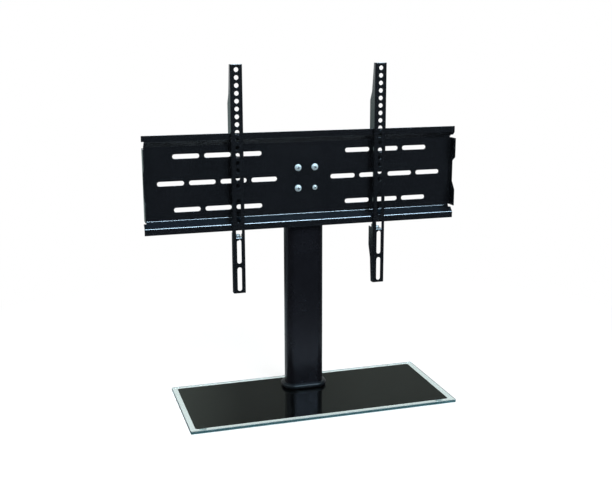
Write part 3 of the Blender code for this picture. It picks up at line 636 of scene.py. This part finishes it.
plastic_finish, shader = finish("black_plastic", plastic_colour, specular=0.15, tint=plastic_tint)
add_colour_shift(shader, scale=30, one=plastic_dark, other=plastic_pale)
add_smears(shader, scale=40, low=0.34, high=0.44)
add_grain(shader, scale=1700, depth=0.00003)

angle = np.linspace(-math.pi / 2, math.pi / 2, 17)
nose = np.stack([
    ring_reach - ring_nose + ring_nose * np.cos(angle), ring_low.z + ring_nose * (1 + np.sin(angle))], axis=1)
seat = np.array([[ring_gap, ring_high.z], [ring_gap, ring_low.z]])
ring = grid_object("trim_ring", carried_profile(outline, outward, np.concatenate([nose, seat])), ring=True)
ring.data.materials.append(plastic_finish)
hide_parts("foot_ring")
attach(ring, "stand")

angle = np.linspace(0, math.pi / 2, 7)
crown = np.stack([cap_edge * (np.cos(angle) - 1), cap_high.z - cap_edge + cap_edge * np.sin(angle)], axis=1)
dish = np.array([
    [-cap_ledge, cap_high.z], [-cap_ledge - dish_slope / 2, cap_high.z - dish_depth * 3 / 4],
    [-cap_ledge - dish_slope, cap_high.z - dish_depth], [-cap_ledge - dish_flat, cap_high.z - dish_depth]])
cap_seat = column_high.z + ring_gap
base = np.array([[-cap_ledge, cap_seat], [-cap_round, cap_seat], [0, cap_seat + cap_round]])
cap = grid_object("moulded_cap", carried_profile(outline, outward, np.concatenate([base, crown, dish])))
cap.data.materials.append(plastic_finish)
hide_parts("column_cap")
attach(cap, "stand")

# Mounting plate: one steel sheet, punched with slots and folded into a lip, a joggle and a web, and back again.
# Its ends fold forward into two stops with a narrow stem between. It is powder coated black
# and screwed to the column by four zinc screws into a nut plate; three of them have a washer.

sheet_edge = 0.00022
flange_weld = 0.0011
pan_length = 0.014
pan_crown_fall = 0.62
pan_crown_power = 2.6
pan_shoulder = 0.12
pan_turns = {"upper_left": 0.35, "upper_right": 1.05, "lower_left": 0.1, "lower_right": 0.7}
pan_cross_radius = 0.0034
pan_cross_half_width = 0.0010
pan_cross_depth = 0.0018
washer_bore = 0.0033
washer_bore_round = 0.0002
washer_lower_round = 0.00015
washer_upper_round = 0.0003

plate = softened_copy(
    "folded_plate", ["mounting_plate", "left_end_flange", "right_end_flange"], sheet_edge, welded=flange_weld)
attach(plate, "stand")

nodes["nut_plate"].data.materials.clear()
nodes["nut_plate"].data.materials.append(zinc_finish)


def pan_profile(head_radius, head_height, shank_radius):
    """Half section of a round pan head: a shallow crown, a round shoulder and a flat underside.

    The crown falls by a share of the head's height as a power of the radius."""
    share = np.linspace(0.02, 1, 30)
    crown = np.stack([
        head_radius * share, head_height * (1 - share ** pan_crown_power * pan_crown_fall)], axis=1)
    under = np.array([
        [head_radius, head_height * pan_shoulder], [head_radius - head_round, 0.0], [shank_radius, 0.0]])
    return np.concatenate([crown, under])


def pan_recess(across, along):
    """Depth of the larger cross in a pan head."""
    return cross_recess(across, along, pan_cross_radius, pan_cross_half_width, pan_cross_depth)


def washer_profile(low, high, bore, radius):
    """Closed section of a stamped washer: a small round below, a larger one above and one at the bore."""
    return np.array([
        [bore, low], [radius - washer_lower_round, low], [radius, low + washer_lower_round],
        [radius, high - washer_upper_round], [radius - washer_upper_round / 3, high - washer_upper_round / 3],
        [radius - washer_upper_round, high], [bore + washer_bore_round, high], [bore, high - washer_bore_round],
    ])


for name, turn in pan_turns.items():
    low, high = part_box(f"plate_screw_{name}")
    seat = high.y - pan_length
    middle = ((low.x + high.x) / 2, seat, (low.z + high.z) / 2)
    head = pan_profile((high.x - low.x) / 2, seat - low.y, screw_radius)
    grid = headed_screw_grid(head, screw_radius, -pan_length, pan_recess)
    spin = np.array(Matrix.Rotation(turn, 3, "Z"))
    screw = grid_object(f"pan_screw_{name}", aim(grid @ spin.T, middle, (0, -1, 0)), sharp=turned_edge)
    mark_recess(screw, head, pan_recess)
    screw.data.materials.append(zinc_finish)
    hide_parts(f"plate_screw_{name}")
    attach(screw, "stand")
    if f"plate_washer_{name}" in nodes:
        low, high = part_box(f"plate_washer_{name}")
        profile = washer_profile(0, high.y - low.y, washer_bore, (high.x - low.x) / 2)
        grid = aim(turned_grid(profile, (0, 0, 0), steps=64), (middle[0], high.y, middle[2]), (0, -1, 0))
        washer = grid_object(f"flat_washer_{name}", grid, ring=True)
        washer.data.materials.append(zinc_finish)
        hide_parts(f"plate_washer_{name}")
        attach(washer, "stand")

# Television arms: steel channels with a column of holes and three slots, powder coated black.
# Each hooks over the plate's lips by notches in its side walls. Below the plate a tab is lanced from
# its face and bent back, and carries a clinch nut and the safety screw that locks the arm to the plate.

plate_middle = sum(corner.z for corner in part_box("mounting_plate")) / 2
right_outer_wall_depth = 0.0145
right_outer_wall_width = 0.004
nut_height = 0.003
nut_bore = 0.0033
nut_collar = 0.0041
nut_round = 0.0001
nut_crown = 0.0006
key_round = 0.0004
hex_radius = 0.0016
hex_depth = 0.0022
hex_wall_slope = 0.00015


def hex_recess(across, along):
    """Depth of a six-sided key recess: deep where the point is nearer than the hexagon's flat in every direction."""
    out = np.hypot(across, along)
    around = np.mod(np.arctan2(along, across), math.pi / 3) - math.pi / 6
    return hex_depth * np.clip((hex_radius - out * np.cos(around)) / hex_wall_slope, 0, 1)


def trim_outer_wall(arm, low, high):
    """Makes the right arm's outer wall shallow above the plate's middle.

    The photograph shows white through its holes there, which the solid's full depth would hide."""
    points = np.empty(len(arm.data.vertices) * 3)
    arm.data.vertices.foreach_get("co", points)
    points = points.reshape(-1, 3)
    outer = (points[:, 0] > high.x - right_outer_wall_width) & (points[:, 2] > plate_middle)
    points[outer, 1] = np.minimum(points[outer, 1], low.y + right_outer_wall_depth)
    arm.data.vertices.foreach_set("co", points.ravel())
    arm.data.update()


def clinch_nut_section(low, high, radius):
    """Closed section of a clinch nut: a collar below, a flat seat under the head, and a head with a bevelled rim."""
    seat = high - nut_height
    return np.array([
        [nut_bore, low], [nut_collar - nut_round, low], [nut_collar, low + nut_round], [nut_collar, seat],
        [radius - 2 * nut_round, seat], [radius, seat + 2 * nut_round], [radius, high - nut_crown],
        [radius - nut_crown * 0.3, high - nut_crown * 0.3], [radius - nut_crown, high],
        [nut_bore + 3 * nut_round, high], [nut_bore, high - 3 * nut_round],
    ])


for side in ("left", "right"):
    arm = softened_copy(f"folded_{side}_arm", [f"{side}_arm"], sheet_edge)
    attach(arm, f"{side}_arm")
    if side == "right":
        trim_outer_wall(arm, *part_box("right_arm"))

    low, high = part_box(f"{side}_safety_nut")
    middle = ((low.x + high.x) / 2, (low.y + high.y) / 2, 0)
    section = clinch_nut_section(low.z, high.z, (high.x - low.x) / 2)
    nut = grid_object(f"clinch_{side}_nut", turned_grid(section, middle, steps=64), ring=True)
    nut.data.materials.append(zinc_finish)
    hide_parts(f"{side}_safety_nut")
    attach(nut, f"{side}_arm")

    low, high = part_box(f"{side}_safety_screw")
    middle = ((low.x + high.x) / 2, (low.y + high.y) / 2, low.z)
    radius = (high.x - low.x) / 2
    face = np.linspace(axis_gap, radius - key_round, 18)
    key_end = np.stack([face, np.zeros_like(face)], axis=1)
    key_end = np.concatenate([key_end, [[radius - key_round / 4, -key_round * 3 / 4]]])
    grid = headed_screw_grid(key_end, radius, low.z - high.z + radius, hex_recess)
    angle = np.linspace(0, math.pi / 2, 8)[1:-1, None, None]
    fall = np.broadcast_to(grid[-1, 0, 2] - radius * np.sin(angle), (len(angle), grid.shape[1], 1))
    tip = np.concatenate([grid[-1:, :, :2] * np.cos(angle), fall], axis=2)
    grid = aim(np.concatenate([grid, tip]), middle, (0, 0, -1))
    screw = grid_object(f"set_{side}_safety_screw", grid, sharp=turned_edge)
    mark_recess(screw, key_end, hex_recess)
    screw.data.materials.append(zinc_finish)
    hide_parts(f"{side}_safety_screw")
    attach(screw, f"{side}_safety_screw")

# Studio floor: a seamless sheet of white paper that fades to plain white away from the object.
# Polished pieces mirror it dim, with one paler band behind the base and a paler far part.

floor_half = 12
floor_drop = 0.00005
paper_colour = (0.92, 0.92, 0.92)
glow_start, glow_end = 0.45, 1.1
glow_least, glow_most = 0.72, 1.0
glow_through_glass = 0.97
dim_start, dim_end = 0.15, 0.6
dim_least = 0.6
dusk_reach = 2.5
dusk_dark = (0.03, 0.036, 0.044)
dusk_band = (0.26, 0.31, 0.33)
dusk_far = (0.28, 0.35, 0.34)

corners = [(x * floor_half, y * floor_half, -floor_drop) for x, y in ((-1, -1), (1, -1), (1, 1), (-1, 1))]
floor_mesh = bpy.data.meshes.new("studio_floor")
floor_mesh.from_pydata(corners, [], [(0, 1, 2, 3)])
floor = bpy.data.objects.new("studio_floor", floor_mesh)
bpy.context.collection.objects.link(floor)


def add_math(tree, operation, *values, kind="Math", clamp=False):
    """Output of a new math node, whose inputs are fed in their order."""
    node = tree.nodes.new(f"ShaderNode{kind}")
    node.operation = operation
    if clamp:
        node.use_clamp = True
    for socket, value in zip(node.inputs, values):
        feed(tree, socket, value)
    return node.outputs["Value"]


def mix_shaders(tree, share, one, other):
    """Output of a mix between two shaders by a share."""
    node = tree.nodes.new("ShaderNodeMixShader")
    for socket, value in zip(node.inputs, (share, one, other)):
        feed(tree, socket, value)
    return node.outputs["Shader"]


def shade_ramp(tree, value, *stops):
    """Colour that a ramp gives to a value; each stop is a place on the ramp and its colour."""
    ramp = add_node(tree, "ValToRGB", Fac=value)
    marks = ramp.color_ramp.elements
    for mark, (position, colour) in zip(marks, (stops[0], stops[-1])):
        mark.position, mark.color = position, (*colour, 1)
    for position, colour in stops[1:-1]:
        marks.new(position).color = (*colour, 1)
    return ramp.outputs["Color"]


floor_finish, shader = finish("white_paper", paper_colour, specular=0.0)
shader.inputs["Roughness"].default_value = 1.0
tree = floor_finish.node_tree
rays = add_node(tree, "LightPath").outputs
place = add_node(tree, "TexCoord").outputs["Object"]
reach = add_math(tree, "LENGTH", place, kind="VectorMath")
glow = add_node(tree, "MapRange", Value=reach, From_Min=glow_start, From_Max=glow_end,
                To_Min=glow_least, To_Max=glow_most)
seen = add_math(tree, "MULTIPLY", rays["Is Camera Ray"], glow.outputs["Result"])
seen_through = add_math(tree, "MULTIPLY", rays["Is Transmission Ray"], glow_through_glass)
whiteness = add_math(tree, "MAXIMUM", seen, seen_through)
white = add_node(tree, "Emission")
paper = mix_shaders(tree, whiteness, shader.outputs["BSDF"], white.outputs["Emission"])
dim = add_node(tree, "MapRange", Value=reach, From_Min=dim_start, From_Max=dim_end, To_Min=dim_least)
reflected = add_math(tree, "SUBTRACT", rays["Is Glossy Ray"], rays["Is Transmission Ray"], clamp=True)
mirrored = add_math(tree, "MULTIPLY", reflected, dim.outputs["Result"])
where = add_node(tree, "SeparateXYZ", Vector=place)
backward = add_node(tree, "MapRange", Value=where.outputs["Y"], From_Max=dusk_reach)
dusk = add_node(tree, "Emission", Color=shade_ramp(
    tree, backward.outputs["Result"], (0.08, dusk_dark), (0.15, dusk_band), (0.29, dusk_band), (0.36, dusk_dark),
    (0.56, dusk_dark), (0.80, dusk_far)))
whole = mix_shaders(tree, mirrored, paper, dusk.outputs["Emission"])
feed(tree, tree.nodes["Material Output"].inputs["Surface"], whole)
floor_mesh.materials.append(floor_finish)

# Studio room: a white backdrop behind the object, which also lights it evenly from all sides.
# Polished pieces see a room instead: a back wall, a dark front wall and a bluish ceiling.
# The back wall is pale at the left, dark beside that and half pale at the right.

room_light = 0.62
room_white = (1, 1, 1)
room_black = (0, 0, 0)
room_half_pale = (0.4, 0.4, 0.4)
room_dark = (0.125, 0.140, 0.128)
room_pale = (0.250, 0.290, 0.260)
room_front = (0.04, 0.045, 0.05)
room_ceiling = (0.05, 0.10, 0.16)
front_wall_end, back_wall_start = -0.1, 0.3

world = bpy.data.worlds.new("studio")
bpy.context.scene.world = world
world.use_nodes = True
tree = world.node_tree
ambient = tree.nodes["Background"]
ambient.inputs["Color"].default_value = (*room_white, 1)
ambient.inputs["Strength"].default_value = room_light
backdrop = add_node(tree, "Background", Color=(*room_white, 1))
rays = add_node(tree, "LightPath").outputs
place = add_node(tree, "TexCoord").outputs["Generated"]
view = add_node(tree, "SeparateXYZ", Vector=place).outputs
dark_wall = shade_ramp(
    tree, view["Z"], (0.20, room_white), (0.33, room_dark), (0.62, room_dark), (0.92, room_ceiling))
pale_wall = shade_ramp(
    tree, view["Z"], (0.20, room_white), (0.33, room_pale), (0.62, room_pale), (0.92, room_ceiling))
front_wall = shade_ramp(tree, view["Z"], (0.05, room_front), (0.62, room_front), (0.92, room_ceiling))
uneven = shade_ramp(
    tree, view["X"], (0.14, room_white), (0.20, room_black), (0.24, room_black), (0.33, room_half_pale))
back_wall = add_mix(tree, uneven, dark_wall, pale_wall)
behind = add_node(tree, "MapRange", Value=view["Y"], From_Min=front_wall_end, From_Max=back_wall_start)
room = add_node(tree, "Background", Color=add_mix(tree, behind.outputs["Result"], front_wall, back_wall))
mirrored = add_math(tree, "MAXIMUM", rays["Is Glossy Ray"], rays["Is Transmission Ray"])
around = mix_shaders(tree, mirrored, ambient.outputs["Background"], room.outputs["Background"])
whole = mix_shaders(tree, rays["Is Camera Ray"], around, backdrop.outputs["Background"])
feed(tree, tree.nodes["World Output"].inputs["Surface"], whole)

# Lamps: one broad softbox stands high in front, a weaker one at the left, and one behind lights the edges.
# A wide strip at the front one's place shows only in reflections, as the bright lines along the plate's folds.

lamp_target = (0, 0, 0.35)
lamps = (
    ("front_lamp", (0.7, -2.2, 2.3), (1.6, 1.6), 90, (0.82, 0.93, 1.0)),
    ("front_strip", (0.7, -2.2, 2.1), (2.2, 0.8), 170, (0.66, 0.83, 1.0)),
    ("left_lamp", (-2.3, 0.2, 2.1), (0.8, 1.2), 34, (0.92, 1.0, 0.97)),
    ("rear_lamp", (0.9, 2.2, 2.2), (1.2, 0.8), 20, (0.95, 1.0, 1.0)),
)
for name, place, size, power, colour in lamps:
    data = bpy.data.lights.new(name, "AREA")
    data.shape = "RECTANGLE"
    data.size, data.size_y = size
    data.energy = power
    data.color = colour
    lamp = bpy.data.objects.new(name, data)
    lamp.location = place
    lamp.rotation_euler = (Vector(lamp_target) - Vector(place)).to_track_quat("-Z", "Y").to_euler()
    lamp.visible_diffuse = name != "front_strip"
    bpy.context.collection.objects.link(lamp)

# Camera: a normal lens just above the object's top and a little to its left.
# Its place, its turn and its lens put the base's corners, the plate's slots and the arms' holes where the
# photograph shows them.

camera_place = (-0.53316, -1.75306, 0.74630)
camera_yaw = math.radians(16.733)
camera_pitch = math.radians(12.717)
camera_roll = math.radians(-0.136)
focal_pixels = 926.37
frame_pixels = 612
sensor_width = 36.0
camera_data = bpy.data.cameras.new("camera")
camera_data.sensor_width = sensor_width
camera_data.lens = focal_pixels / frame_pixels * sensor_width
camera = bpy.data.objects.new("camera", camera_data)
bpy.context.collection.objects.link(camera)
ahead = Vector((math.sin(camera_yaw) * math.cos(camera_pitch), math.cos(camera_yaw) * math.cos(camera_pitch),
                -math.sin(camera_pitch)))
aside = Vector((math.cos(camera_yaw), -math.sin(camera_yaw), 0))
upward = aside.cross(ahead)
right = aside * math.cos(camera_roll) + upward * math.sin(camera_roll)
upward = upward * math.cos(camera_roll) - aside * math.sin(camera_roll)
camera.matrix_world = Matrix.Translation(camera_place) @ Matrix((right, upward, -ahead)).transposed().to_4x4()
bpy.context.scene.camera = camera
bpy.context.scene.view_settings.view_transform = "Standard"
